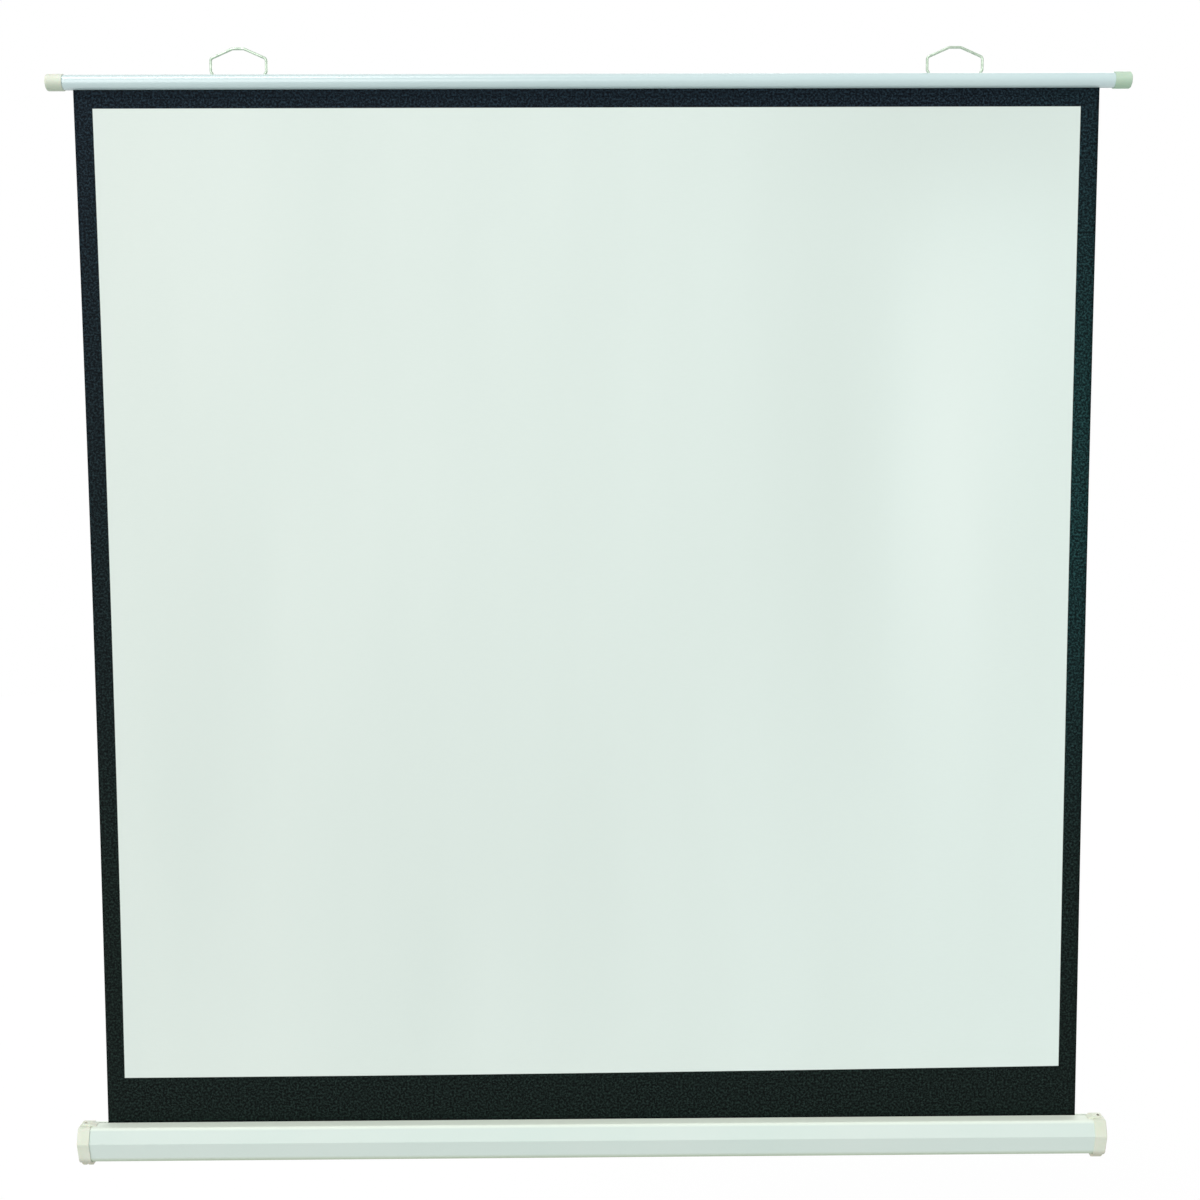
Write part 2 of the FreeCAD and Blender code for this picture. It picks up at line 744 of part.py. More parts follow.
def make_spindle():
    """The fixed rod inside the spring, with the flat blade that the end cap holds still."""
    body = new_body("spindle", s.case_shift + spindle_left, -s.roller_back, roller_z)
    half = new_sketch(body, "XZ")
    collar_right = spring_right - spindle_left
    collar_left = collar_right - s.collar_length
    outline(half, [
        (zero, zero), (zero, spindle_radius),
        (collar_left, spindle_radius), (collar_left, collar_radius),
        (collar_right, collar_radius), (collar_right, spindle_radius),
        (s.spindle_length, spindle_radius), (s.spindle_length, zero),
    ])
    revolve(body, half)
    blade = new_sketch(body, "YZ", s.spindle_length - s.overrun)
    rectangle(blade, -s.blade_width / 2, -s.blade_thickness / 2, s.blade_width / 2, s.blade_thickness / 2)
    pad(body, blade, case_end - ratchet_right + s.overrun - s.run_gap)
    return body


def make_torsion_spring():
    body = new_body("torsion_spring", s.case_shift + spring_left, -s.roller_back, roller_z)
    wire = new_sketch(body, "XZ")
    coil_radius = collar_radius + s.fit_gap * 2
    rectangle(wire, zero, coil_radius, s.spring_wire, coil_radius + s.spring_wire)
    helix = body.newObject("PartDesign::AdditiveHelix", "Coils")
    helix.Profile = wire
    helix.ReferenceAxis = ([item for item in body.Origin.OriginFeatures if item.Role == "X_Axis"][0], [""])
    helix.Mode = "height-turns-angle"
    helix.setExpression("Height", (spring_length - s.spring_wire).text)
    helix.setExpression("Turns", s.spring_turns.text)
    return body


def make_ratchet_wheel():
    body = new_body("ratchet_wheel", s.case_shift + ratchet_left, -s.roller_back, roller_z)
    disc = new_sketch(body, "YZ")
    circle(disc, zero, zero, s.ratchet_diameter / 2)
    circle(disc, zero, zero, spindle_radius + s.fit_gap)
    pad(body, disc, s.ratchet_width)
    notch = new_sketch(body, "YZ")
    rim = s.ratchet_diameter / 2 + s.overrun
    outline(notch, [
        (s.notch_front, rim), (-s.notch_back - s.notch_run, rim),
        (-s.notch_back, s.notch_floor), (s.notch_front, s.notch_floor),
    ])
    cut = pocket(body, notch, s.ratchet_width, reverse=True)
    both = body.newObject("PartDesign::PolarPattern", "Notches")
    both.Originals = [cut]
    both.Axis = ([item for item in body.Origin.OriginFeatures if item.Role == "X_Axis"][0], [""])
    both.Angle = 360
    both.Occurrences = 2
    body.Tip = both
    return body


def make_pawl(turn, label):
    """A pawl, lifted clear of the wheel: turn 1 is over the upper notch, turn -1 under the lower."""
    body = new_body(label, s.case_shift + ratchet_left + s.run_gap,
                    -s.roller_back - turn * s.pawl_reach, roller_z + turn * s.pawl_rise)
    arm = new_sketch(body, "YZ")
    reach = s.pawl_reach + s.notch_front - s.run_gap - s.fit_gap * 2
    tip = s.tooth_tip - s.pawl_rise
    root = s.tooth_root - s.pawl_rise
    back = s.pawl_back - s.pawl_rise
    outline(arm, [
        (-s.pawl_boss, -s.pawl_boss / 2, s.pawl_boss / 2),
        (s.pawl_boss, -s.pawl_boss / 2, s.pawl_boss / 2),
        (reach - s.tooth_width * 2, root),
        (reach - s.tooth_width, root),
        (reach - s.tooth_width, tip),
        (reach, tip),
        (reach, back),
        (s.pawl_boss, back),
        (-s.pawl_boss, s.pawl_boss, s.pawl_boss / 2),
    ])
    circle(arm, zero, zero, s.pawl_pin / 2 + s.fit_gap)
    pad(body, arm, s.pawl_width)
    swing = s.pawl_lift if turn > 0 else 180 + s.pawl_lift
    body.Placement = FreeCAD.Placement(
        body.Placement.Base, FreeCAD.Rotation(FreeCAD.Vector(1, 0, 0), swing.number))
    body.setExpression("Placement.Rotation.Angle", swing.text)
    return body


def pair(label, makers):
    """One node that holds a group of separate, equal pieces."""
    group = doc.addObject("Part::Compound", label)
    group.Label = label
    group.Links = makers
    return group


def make_pawl_pins():
    pins = []
    for turn in (-1, 1):
        body = new_body(f"pawl_pin_{turn + 2}", s.case_shift + roller_right,
                        -s.roller_back - turn * s.pawl_reach, roller_z + turn * s.pawl_rise)
        half = new_sketch(body, "XZ")
        shank = s.plug_flange + s.run_gap * 2 + s.pawl_width + s.run_gap
        outline(half, [
            (zero, zero), (zero, s.pawl_pin / 2), (shank, s.pawl_pin / 2), (shank, s.pawl_head / 2),
            (shank + s.pawl_head_height, s.pawl_head / 2), (shank + s.pawl_head_height, zero),
        ])
        revolve(body, half)
        pins.append(body)
    return pair("pawl_pins", pins)


def make_blade_socket():
    body = new_body("blade_socket", s.case_shift + case_end - s.boss_length - s.fit_gap,
                    -s.roller_back, roller_z)
    plate = new_sketch(body, "YZ")
    rectangle(plate, -s.socket_width / 2, -s.socket_height / 2, s.socket_width / 2, s.socket_height / 2)
    rectangle(plate,
              -s.blade_width / 2 - s.fit_gap * 2, -s.blade_thickness / 2 - s.fit_gap * 2,
              s.blade_width / 2 + s.fit_gap * 2, s.blade_thickness / 2 + s.fit_gap * 2)
    pad(body, plate, s.socket_plate, reverse=True)
    return body


def make_cap_screws():
    """A cross-recessed screw for each lobe, on the line of its leaning hole."""
    screws = []
    for side in (-1, 1):
        x = s.case_shift + side * (case_end + s.cap_plate - s.screw_inset)
        body = new_body(f"cap_screw_{side + 2}", x, -s.screw_reach, case_top)
        body.Placement = FreeCAD.Placement(
            body.Placement.Base, FreeCAD.Rotation(FreeCAD.Vector(1, 0, 0), s.screw_tilt.number))
        body.setExpression("Placement.Rotation.Angle", s.screw_tilt.text)
        half = new_sketch(body, "XZ")
        head_top = s.screw_floor + s.screw_head_height
        outline(half, [
            (zero, head_top), (s.screw_head / 2, head_top),
            (s.screw_head / 2, s.screw_floor), (s.screw_shank / 2, s.screw_floor),
            (s.screw_shank / 2, s.screw_floor - s.screw_length), (zero, s.screw_floor - s.screw_length),
        ])
        revolve(body, half, "Z_Axis")
        for across, up in ((s.screw_shank, s.screw_recess), (s.screw_recess, s.screw_shank)):
            recess = new_sketch(body, "XY", head_top)
            rectangle(recess, -across / 2, -up / 2, across / 2, up / 2)
            pocket(body, recess, s.screw_recess)
        screws.append(body)
    return pair("cap_screws", screws)


nodes = [
    make_top_tube(),
    make_top_cap(-1, "top_cap_left"),
    make_top_cap(1, "top_cap_right"),
    make_hem_rod(),
    make_bail(-1, "bail_left"),
    make_bail(1, "bail_right"),
    make_screen_fabric(),
    make_case_shell(),
    make_case_cap(-1, "case_cap_left"),
    make_case_cap(1, "case_cap_right"),
    make_cap_screws(),
    make_blade_socket(),
    make_roller_tube(),
    make_fabric_wraps(),
    make_spring_head(),
    make_spindle(),
    make_torsion_spring(),
    make_ratchet_wheel(),
    make_pawl(1, "pawl_upper"),
    make_pawl(-1, "pawl_lower"),
    make_pawl_pins(),
]
make_roller_ends()
nodes += [doc.getObject(name) for name in ("idle_plug", "idle_pin", "pin_bush", "spring_anchor")]
doc.recompute()

for item in doc.Objects:
    if "Invalid" in item.State or "Error" in item.State:
        raise RuntimeError(f"{item.Name} did not rebuild: {item.State}")
    if item.TypeId == "PartDesign::Pocket":
        removed = item.BaseFeature.Shape.Volume - item.Shape.Volume
        if removed <= 0:
            raise RuntimeError(f"{item.Name} cuts nothing")

os.makedirs("parts", exist_ok=True)
for node in nodes:
    if node.Shape.isNull() or not node.Shape.isValid():
        raise RuntimeError(f"{node.Label} has no valid shape")
    node.Shape.exportStep(f"parts/{node.Label}.step")
    print(f"{node.Label}: {len(node.Shape.Solids)} solid, {node.Shape.Volume:.0f} mm3")
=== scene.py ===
import math

import bmesh
import bpy
from mathutils import Matrix, Vector, noise


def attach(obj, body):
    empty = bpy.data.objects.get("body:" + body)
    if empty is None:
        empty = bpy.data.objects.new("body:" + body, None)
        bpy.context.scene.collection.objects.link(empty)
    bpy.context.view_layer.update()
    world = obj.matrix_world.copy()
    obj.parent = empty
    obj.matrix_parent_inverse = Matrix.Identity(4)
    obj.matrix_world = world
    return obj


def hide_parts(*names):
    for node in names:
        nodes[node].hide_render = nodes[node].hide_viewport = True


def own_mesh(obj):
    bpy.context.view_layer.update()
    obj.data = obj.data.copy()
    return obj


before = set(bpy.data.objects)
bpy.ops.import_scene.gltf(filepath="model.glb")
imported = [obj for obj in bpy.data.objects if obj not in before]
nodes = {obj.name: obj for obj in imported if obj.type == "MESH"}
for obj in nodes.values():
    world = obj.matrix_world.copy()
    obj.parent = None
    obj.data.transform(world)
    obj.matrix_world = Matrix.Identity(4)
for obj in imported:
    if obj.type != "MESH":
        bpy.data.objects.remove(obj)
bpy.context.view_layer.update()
for item in bpy.context.selected_objects:
    item.select_set(False)
print("frame loaded:", len(nodes), "nodes")

# Lengths are in metres throughout
cameraSetup = {
    "place": (-0.0182, -2.2851, -0.6178),
    "angles": (5.025, -0.466, -0.294),        # degrees that it looks down, turns and rolls
    "lens": 45.0,        # millimetres, as is the sensor
    "sensor": 36.0,
    "clip": (0.05, 60.0),
}


def addCamera(c):
    down, turn, roll = (math.radians(angle) for angle in c["angles"])
    spin = Matrix.Rotation(roll, 3, "Z") @ Matrix.Rotation(turn, 3, "Y")
    spin = spin @ Matrix.Rotation(down, 3, "X")
    # its rows are the view's right, down and ahead, with y down and z away
    right, below, ahead = (Vector((row[0], row[2], -row[1])) for row in spin)
    data = bpy.data.cameras.new("camera")
    data.lens, data.sensor_width = c["lens"], c["sensor"]
    data.clip_start, data.clip_end = c["clip"]
    camera = bpy.data.objects.new("camera", data)
    bpy.context.scene.collection.objects.link(camera)
    turned = Matrix((right, -below, -ahead)).transposed()
    camera.matrix_world = Matrix.Translation(c["place"]) @ turned.to_4x4()
    bpy.context.scene.camera = camera


addCamera(cameraSetup)
print("camera set")


# A Signal is one socket's value, which can be used in sums
class Signal:
    def __init__(self, bench, socket):
        self.bench, self.socket = bench, socket

    def worked(self, operation, *values, clamp=False):
        settings = {"operation": operation, "use_clamp": clamp}
        node = self.bench.add("ShaderNodeMath", settings, dict(enumerate(values)))
        return Signal(self.bench, node.outputs[0])

    def __add__(self, other):
        return self.worked("ADD", self, other)

    def __sub__(self, other):
        return self.worked("SUBTRACT", self, other)

    def __rsub__(self, other):
        return self.worked("SUBTRACT", other, self)

    def __mul__(self, other):
        return self.worked("MULTIPLY", self, other)

    __radd__, __rmul__ = __add__, __mul__

    def past(self, edge, soft):        # 0 before the edge, 1 after it, and soft between
        return self.worked("MULTIPLY_ADD", self, 1 / soft, 0.5 - edge / soft, clamp=True)


# A Bench makes the nodes of one tree
class Bench:
    def __init__(self, tree):
        self.tree = tree

    def add(self, kind, settings, sockets):
        node = self.tree.nodes.new(kind)
        for key, value in settings.items():
            setattr(node, key, value)
        for key, value in sockets.items():
            self.join(value, node.inputs[key])
        return node

    def join(self, value, socket):
        if isinstance(value, Signal):
            self.tree.links.new(value.socket, socket)
        else:
            socket.default_value = value

    def seen(self):        # 1 to the camera, in reflections and through glass, 0 to other light
        path = self.add("ShaderNodeLightPath", {}, {})
        rays = [Signal(self, path.outputs[f"Is {kind} Ray"])
                for kind in ("Camera", "Glossy", "Transmission")]
        either = rays[0].worked("MAXIMUM", rays[0], rays[1])
        return either.worked("MAXIMUM", either, rays[2])


# A Finish is the Bench of one material
class Finish(Bench):
    def __init__(self, name, fixed):
        self.material = bpy.data.materials.new(name)
        self.material.use_nodes = True
        super().__init__(self.material.node_tree)
        self.shader = self.tree.nodes["Principled BSDF"]
        for socket, value in fixed.items():
            self.set(socket, value)

    def set(self, name, value):
        self.join(value, self.shader.inputs[name])

    def stretched(self, vector, stretch):
        node = self.add("ShaderNodeMapping", {}, {"Vector": vector, "Scale": stretch})
        return Signal(self, node.outputs[0])

    def place(self, stretch=(1, 1, 1)):        # the piece's own coordinates
        source = self.add("ShaderNodeTexCoord", {}, {})
        return self.stretched(Signal(self, source.outputs["Object"]), stretch)

    def cloth(self, stretch=(1, 1, 1)):        # across the cut sheet and along it
        source = self.add("ShaderNodeUVMap", {"uv_map": "cut"}, {})
        return self.stretched(Signal(self, source.outputs[0]), stretch)

    def grain(self, vector, scale, detail, roughness=0.5):
        sockets = {"Vector": vector, "Scale": scale, "Detail": detail, "Roughness": roughness}
        return Signal(self, self.add("ShaderNodeTexNoise", {}, sockets).outputs["Fac"])

    def weave(self, thread, stretch):        # threads that run across, and threads that run down
        return [self.grain(self.cloth(way), *thread) for way in ((stretch, 1, 1), (1, stretch, 1))]

    def axes(self, vector):
        split = self.add("ShaderNodeSeparateXYZ", {}, {"Vector": vector})
        return [Signal(self, output) for output in split.outputs]

    def spot(self, along, middle, spread, level, reach):        # 1 in its middle, fading out
        aside, apart = (along[0] - middle) * (1 / spread), (along[1] - level) * (1 / reach)
        away = aside * aside + apart * apart
        return away.worked("EXPONENT", away * -1)

    def blend(self, share, first, second):        # colours, by a share from 0 to 1
        sockets = {0: share, 6: first, 7: second}
        return Signal(self, self.add("ShaderNodeMix", {"data_type": "RGBA"}, sockets).outputs[2])

    def bump(self, height, depth, strength):
        sockets = {"Height": height, "Distance": depth, "Strength": strength}
        self.set("Normal", Signal(self, self.add("ShaderNodeBump", {}, sockets).outputs[0]))


def paint(red, green, blue):        # a colour as a screen shows it, 0 to 255
    return tuple((value / 255) ** 2.2 for value in (red, green, blue)) + (1.0,)


# What the finishes of one kind share. A grain is its scale, detail and roughness, an edge is its
# middle and softness, and a bump is its depth and strength.
enamelKind = {
    "toneEdge": (0.5, 0.5),
    "toneShare": 0.8,        # the rest is speck
    "speck": (924.0, 1.0),
    "relief": (420.0, 2.0),
    "stretch": (1, 1, 1),
    "bump": (0.00012, 0.35),
}
ivoryKind = {
    "fixed": {"IOR": 1.49, "Subsurface Weight": 0.06, "Subsurface Scale": 0.002},
    "tone": (38.0, 3.0),
    "toneEdge": (0.5, 0.6),
    "toneShare": 1.0,
    "roughness": (0.38, 0.52),
    "relief": (900.0, 3.0),
    "stretch": (1, 1, 1),
    "bump": (0.00008, 0.5),
}
metalKind = {
    "fixed": {"Metallic": 1.0},
    "toneEdge": (0.5, 0.5),
    "toneShare": 1.0,
    "relief": (2600.0, 2.0),
    "stretch": (0.08, 1, 1),        # drawn out along the screen
    "bump": (0.00005, 0.35),
}
mouldingKind = {
    "fixed": {"IOR": 1.5},
    "tone": (70.0, 3.0),
    "toneEdge": (0.5, 1.0),
    "toneShare": 1.0,
    "roughness": (0.45, 0.65),
    "relief": (1500.0, 2.0),
    "stretch": (1, 1, 1),
    "bump": (0.00006, 0.5),
}

# Each finish and its pieces. "above" and "below" paint light and shade on a piece past a height,
# a painted highlight above it and painted shade below it: height, softness and colour.
finishes = {
    "case_enamel": {
        **enamelKind,
        "pieces": ("case_shell",),
        "fixed": {"Specular IOR Level": 0.28},
        "pale": paint(219, 231, 224),
        "deep": paint(213, 229, 221),
        "tone": (5.5, 3.0, 0.55),
        "roughness": (0.46, 0.58),
        # painted highlight: the case's top band lighter and creamier, where the light from above
        # falls
        "above": (-1.6415, 0.004, paint(240, 250, 236)),
        # painted shade: the case's downward-facing bottom rim darker and warmer
        "below": (-1.6885, 0.006, paint(190, 204, 180)),
    },
    "tube_enamel": {
        **enamelKind,
        "pieces": ("top_tube",),
        "fixed": {"Coat Weight": 0.7, "Coat Roughness": 0.2, "Specular IOR Level": 0.9},
        "pale": paint(202, 223, 223),
        "deep": paint(195, 218, 219),
        "tone": (4.0, 3.0, 0.55),
        "roughness": (0.26, 0.32),
    },
    "case_ivory": {
        **ivoryKind,
        "pieces": ("case_cap_left", "case_cap_right"),
        "pale": paint(229, 233, 218),
        "deep": paint(216, 224, 203),
        # painted shade: the caps' undersides and feet darker
        "below": (-1.6885, 0.008, paint(198, 198, 180)),
    },
    "cup_ivory": {
        **ivoryKind,
        "pieces": ("top_cap_left",),
        "pale": paint(229, 233, 218),
        "deep": paint(216, 224, 203),
        # painted shade: the cup's underside darker
        "below": (-0.0505, 0.012, paint(192, 204, 184)),
    },
    # the right cup's ivory, a darker, greener copy of the left cup's: painted shade where less
    # light reaches it, with its underside darker still, painted shade too
    "cup_ivory_shaded": {
        **ivoryKind,
        "pieces": ("top_cap_right",),
        "pale": paint(198, 220, 200),
        "deep": paint(186, 211, 187),
        "below": (-0.0505, 0.012, paint(168, 198, 172)),
    },
    "zinc_wire": {
        "pieces": ("bail_left", "bail_right"),
        "fixed": {"Metallic": 0.75},
        "pale": paint(192, 208, 190),
        "deep": paint(138, 158, 140),
        "tone": (160.0, 4.0, 0.6),
        "toneEdge": (0.55, 0.4),
        "toneShare": 0.7,
        "roughness": (0.26, 0.48),
        "relief": (1400.0, 2.0),
        "stretch": (1, 1, 0.06),
        "bump": (0.00006, 0.4),
    },
    "bright_steel": {
        **metalKind,
        "pieces": ("idle_pin", "pawl_pins", "ratchet_wheel", "spindle", "blade_socket", "hem_rod",
                   "pawl_upper", "pawl_lower"),
        "pale": paint(176, 180, 180),
        "deep": paint(140, 144, 143),
        "tone": (90.0, 4.0, 0.6),
        "roughness": (0.20, 0.40),
    },
    "galvanised_roller": {
        **metalKind,
        "pieces": ("roller_tube",),
        "pale": paint(190, 196, 194),
        "deep": paint(158, 166, 165),
        "tone": (55.0, 4.0, 0.6),
        "roughness": (0.32, 0.52),
    },
    "spring_steel": {
        **metalKind,
        "pieces": ("torsion_spring",),
        "pale": paint(92, 92, 90),
        "deep": paint(58, 56, 54),
        "tone": (240.0, 4.0, 0.6),
        "roughness": (0.28, 0.48),
    },
    "screw_steel": {
        **metalKind,
        "pieces": ("cap_screws",),
        "pale": paint(150, 150, 138),
        "deep": paint(112, 110, 100),
        "tone": (700.0, 4.0, 0.6),
        "roughness": (0.35, 0.55),
    },
    "dark_moulding": {
        **mouldingKind,
        "pieces": ("idle_plug", "spring_anchor", "spring_head"),
        "pale": paint(62, 63, 62),
        "deep": paint(48, 49, 49),
    },
    "natural_moulding": {
        **mouldingKind,
        "pieces": ("pin_bush",),
        "pale": paint(214, 210, 196),
        "deep": paint(198, 194, 178),
    },
}


def makeFinish(name, c):
    bench = Finish(name, c["fixed"])
    tone = bench.grain(bench.place(), *c["tone"])
    share = tone.past(*c["toneEdge"]) * c["toneShare"]
    if "speck" in c:
        share = share + bench.grain(bench.place(), *c["speck"]) * (1 - c["toneShare"])
    colour = bench.blend(share, c["pale"], c["deep"])
    height = bench.axes(bench.place())[2]
    # a lighter band above a height: painted highlight where the light from above falls
    if "above" in c:
        level, soft, paintedLight = c["above"]
        colour = bench.blend(height.past(level, soft), colour, paintedLight)
    # a darker band below a height: painted shade on the downward-facing underside
    if "below" in c:
        level, soft, paintedLight = c["below"]
        colour = bench.blend(height.past(level, soft), paintedLight, colour)
    bench.set("Base Color", colour)
    low, high = c["roughness"]
    bench.set("Roughness", tone * (high - low) + low)
    bench.bump(bench.grain(bench.place(c["stretch"]), *c["relief"]), *c["bump"])
    return bench.material


for name, c in finishes.items():
    material = makeFinish(name, c)
    for piece in c["pieces"]:
        nodes[piece].data.materials.clear()
        nodes[piece].data.materials.append(material)
print("finishes made for the solid pieces:", len(finishes))


# The cloth is one cut sheet, shown as the face, the hem, the lead into the case and the turns on
# the roller
clothSetup = {
    "width": 1.524,
    "middle": -0.0144,
    "thickness": 0.00036,
    "slit": -0.057,        # height of the tube's underside
    "slot": -1.639,        # height of the case's top
    "travel": 1.57,        # how far the case rises as the cloth winds in
    # the face
    "neckIn": (0.0037, 0.0022),        # how far the left and right edges pull in halfway down
    "tuck": 0.0006,        # how far it goes into the slot
    "forward": 0.0007,        # how far it stands forward halfway down, clear of the slot's back lip
    "curl": (0.0012, 0.07),        # how far its sides come forward, over this share of half a width
    "fade": 0.6,        # how fast the waves and folds grow from both ends
    "wave": -0.0014,
    "waveBroad": (3.4, 0.45, 3.7),        # waves per metre across and down, and where they start
    "waveNarrow": (9.0, 0.8, 8.1),
    "waveNarrowShare": 0.3,
    # soft folds: across, half width, height, reach and depth
    "folds": (
        (0.445, 0.085, -0.72, 0.62, -0.0012),
        (-0.555, 0.07, -1.02, 0.36, -0.0005),
        (0.10, 0.13, -1.25, 0.4, -0.0004),
    ),
    # the hem
    "rod": -0.05253,        # height of the rod's middle
    "loop": 0.00323,        # radius round the rod, to the middle of the cloth
    "loopGap": 0.06,        # radians that the loop leaves open at each side of its foot
    "flap": 0.010,        # behind, below the slit
    "flapStart": 0.0006,        # below the end of the loop
    "strip": 0.0118,        # in front, and still below the tube when the screen is rolled up
    # the lead and the turns
    "touch": (0.00729, -0.023),        # where the lead meets the roll, from the slot
    "rollAxis": (-0.008, -1.667),
    "rollStart": 0.01523,        # radius of the innermost turn
    "rollAngle": 18.0,        # degrees
    "turns": 1.4,
    # rows along the cloth and columns across it
    "faceGrid": (110, 170),
    "hemRows": (40, 6, 4),        # round the rod, in the flap and in the strip
    "leadGrid": (8, 60),
    "turnGrid": (96, 30),
    # the printed border
    "borders": (0.0276, 0.0275, 0.0270),        # left, right and top
    "whiteEnd": (1.5103, 1.5019, 0.0020),        # how far down it goes, left and right, and its sag
}


def hangShare(c, height):        # 0 at the tube, 1 at the case
    return (c["slit"] - height) / (c["slit"] - c["slot"])


def faceX(c, share, height):        # where a point across the cloth hangs at this height
    down = hangShare(c, height)
    bow = max(0.0, 4 * down * (1 - down))
    left = c["middle"] - c["width"] / 2 + c["neckIn"][0] * bow
    right = c["middle"] + c["width"] / 2 - c["neckIn"][1] * bow
    return left + (right - left) * share


def waveAt(x, height, across, down, start):
    return noise.noise(Vector((x * across, height * down, start)))


def faceY(c, x, height):        # slow waves and folds that die out at both ends
    down = min(max(hangShare(c, height), 0.0), 1.0)
    fade = max(0.0, math.sin(math.pi * down)) ** c["fade"]
    narrow = waveAt(x, height, *c["waveNarrow"]) * c["waveNarrowShare"]
    deep = c["wave"] * (waveAt(x, height, *c["waveBroad"]) + narrow)
    for middle, spread, level, reach, depth in c["folds"]:
        deep -= depth * math.exp(-((x - middle) / spread) ** 2 - ((height - level) / reach) ** 2)
    curl, band = c["curl"]
    edge = max(0.0, abs(x - c["middle"]) / (c["width"] / 2) - (1 - band)) / band
    return fade * (deep - c["forward"] - curl * edge * edge)


# line is the cloth's section, each point of it y, z and how far along the cut
def sewCloth(name, c, line, columns, materials):
    build = bmesh.new()
    cut = build.loops.layers.uv.new("cut")
    rows = []
    for y, z, along in line:
        row = []
        for column in range(columns + 1):
            share = column / columns
            x = faceX(c, share, z)
            wave = faceY(c, x, z) if c["slot"] <= z <= c["slit"] else 0.0
            row.append((build.verts.new((x, y + wave, z)), share * c["width"], along))
        rows.append(row)
    for upper, lower in zip(rows, rows[1:]):
        for i in range(columns):
            corners = [upper[i], lower[i], lower[i + 1], upper[i + 1]]
            face = build.faces.new([corner[0] for corner in corners])
            face.smooth = True
            for loop, corner in zip(face.loops, corners):
                loop[cut].uv = corner[1:]
    mesh = bpy.data.meshes.new(name)
    build.to_mesh(mesh)
    build.free()
    for material in materials:
        mesh.materials.append(material)
    piece = bpy.data.objects.new(name, mesh)
    bpy.context.scene.collection.objects.link(piece)
    thick = piece.modifiers.new("thickness", "SOLIDIFY")
    thick.thickness = c["thickness"]
    thick.offset = 0
    thick.material_offset = thick.material_offset_rim = 1
    bpy.context.view_layer.objects.active = piece
    bpy.ops.object.modifier_apply(modifier=thick.name)
    return piece


frontFinish = {
    "gloss": 0.07,
    "lineSoft": 0.0007,        # softness of the line between white and black
    "whiteLeft": paint(231, 240, 233),
    "whiteRight": paint(228, 242, 236),
    "whiteDeep": paint(221, 233, 226),
    "whiteLit": paint(243, 252, 246),
    "whiteShade": paint(209, 221, 214),
    "cloud": (4.6, 2.0),
    "cloudStretch": (1, 0.22, 1),
    "cloudEdge": (0.5, 0.6),
    "cloudShare": 0.6,
    "thread": (520.0, 2.0),
    "threadStretch": 0.12,
    "threadShare": 0.3,
    # where the sheet turns to the light or away: across, half width, down, reach and amount
    "tones": (
        (1.305, 0.090, 0.55, 0.42, 0.30),
        (0.23, 0.12, 0.10, 0.34, 0.12),
        (1.115, 0.13, 0.45, 0.60, -0.24),
        (1.36, 0.26, 0.02, 0.16, -0.60),
        (0.14, 0.08, 1.00, 0.45, -0.15),
        (0.55, 0.50, 1.18, 0.40, -0.20),
    ),
    # the border's pale and deep grains: low down, towards the top and halfway up its right side
    "borderLow": (paint(40, 54, 50), paint(7, 15, 14)),
    "borderHigh": (paint(42, 58, 68), paint(7, 15, 22)),
    "borderRight": (paint(45, 82, 82), paint(9, 27, 28)),
    "borderLowEdge": (0.6, 1.2),        # down the sheet
    "borderRightSpot": (1.50, 0.10, 0.55, 0.40),        # across, half width, down and reach
    "sand": (300.0, 3.0, 0.75),
    "sandEdge": (0.55, 0.2),
    "roughness": 0.58,
    "whiteRougher": 0.3,
    "threadRougher": 0.08,
    "bump": (0.00012, 0.35),
}
backFinish = {
    "gloss": 0.2,
    "pale": paint(50, 55, 56),
    "deep": paint(36, 40, 41),
    "cloud": (9.0, 3.0),
    "cloudEdge": (0.5, 0.7),
    "cloudShare": 0.6,
    "thread": (900.0, 2.0),
    "threadStretch": 0.12,
    "threadShare": 0.4,
    "roughness": 0.6,
    "threadRougher": 0.15,
    "bump": (0.00015, 0.6),
}


def makeFront(cloth, c):
    bench = Finish("screen_front", {"Specular IOR Level": c["gloss"]})
    along = bench.axes(bench.cloth())
    width, soft = cloth["width"], c["lineSoft"]
    # 1 on the white area
    left, right, top = cloth["borders"]
    endLeft, endRight, sag = cloth["whiteEnd"]
    white = along[0].past(left, soft) * (1 - along[0].past(width - right, soft))
    sagged = along[0] * (width - along[0]) * (4 * sag / width ** 2)
    low = along[1] - along[0] * ((endRight - endLeft) / width) - sagged
    white = white * along[1].past(top, soft) * (1 - low.past(endLeft, soft))
    # the white's tones
    across, down = bench.weave(c["thread"], c["threadStretch"])
    cloud = bench.grain(bench.cloth(c["cloudStretch"]), *c["cloud"])
    paper = bench.blend(along[0].past(width / 2, width), c["whiteLeft"], c["whiteRight"])
    deepShare = cloud.past(*c["cloudEdge"]) * c["cloudShare"] + across * c["threadShare"]
    paper = bench.blend(deepShare, paper, c["whiteDeep"])
    lit = 0
    for *spot, amount in c["tones"]:
        lit = bench.spot(along, *spot) * amount + lit
    paper = bench.blend(lit, paper, c["whiteLit"])
    paper = bench.blend(lit * -1, paper, c["whiteShade"])
    # the black's tones
    grit = bench.grain(bench.cloth(), *c["sand"]).past(*c["sandEdge"])
    lowBlack, highBlack, rightBlack = (
        bench.blend(grit, deep, pale)
        for pale, deep in (c["borderLow"], c["borderHigh"], c["borderRight"]))
    black = bench.blend(along[1].past(*c["borderLowEdge"]), highBlack, lowBlack)
    black = bench.blend(bench.spot(along, *c["borderRightSpot"]), black, rightBlack)
    bench.set("Base Color", bench.blend(white, black, paper))
    rougher = white * c["whiteRougher"] + across * c["threadRougher"]
    bench.set("Roughness", rougher + c["roughness"])
    bench.bump(across + down, *c["bump"])
    return bench.material


